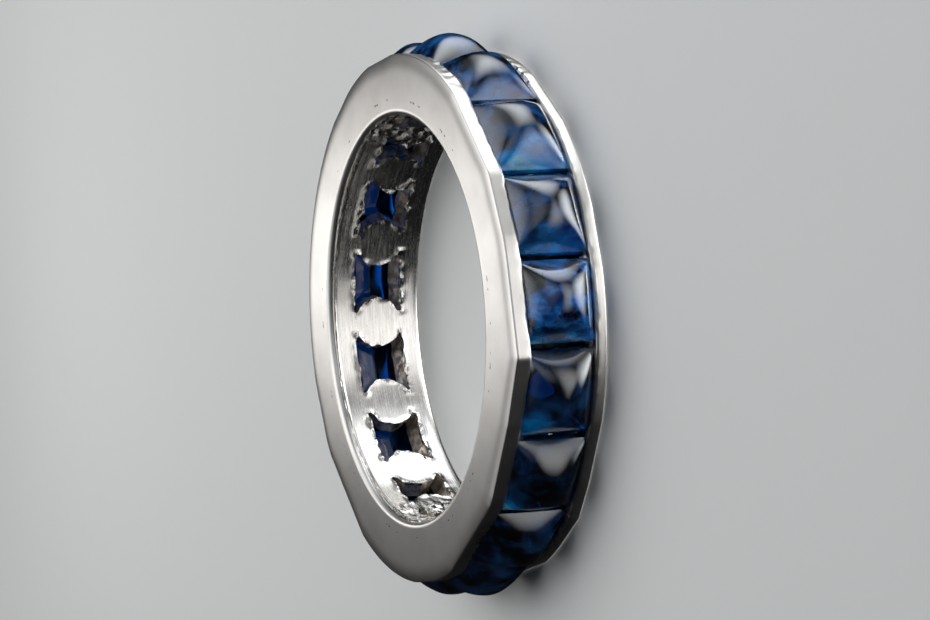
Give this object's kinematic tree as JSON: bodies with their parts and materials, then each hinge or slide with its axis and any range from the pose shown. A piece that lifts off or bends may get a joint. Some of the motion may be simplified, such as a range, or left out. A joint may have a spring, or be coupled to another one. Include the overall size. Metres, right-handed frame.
{
  "type": "eternity ring",
  "caption": "Channel-set eternity ring: a full circle of dark blue sugarloaf stones between two white-metal side plates, over a sleeve pierced below each stone.",
  "frame": {"origin": "on the axis of the finger hole, in the plane of the far side plate's face, on which the ring lies", "axes": "+Z along the ring's axis, up, from the far side plate to the near one that the picture shows; +X through the middle of stone_01, which faces the viewer in the picture; the ring is stored lying on its side"},
  "size_m": [0.0237, 0.0236, 0.0043],
  "materials": {
    "white_gold": "white gold, satin side faces with fine casting pits, brushed finger hole, bright filed rims",
    "sapphire": "polished dark blue sapphire, softly worn ridges"
  },
  "bodies": {
    "root": {"channel_band": "white_gold", "stone_01": "sapphire", "stone_02": "sapphire", "stone_03": "sapphire", "stone_04": "sapphire", "stone_05": "sapphire", "stone_06": "sapphire", "stone_07": "sapphire", "stone_08": "sapphire", "stone_09": "sapphire", "stone_10": "sapphire", "stone_11": "sapphire", "stone_12": "sapphire", "stone_13": "sapphire", "stone_14": "sapphire", "stone_15": "sapphire", "stone_16": "sapphire", "stone_17": "sapphire"}
  },
  "joints": []
}
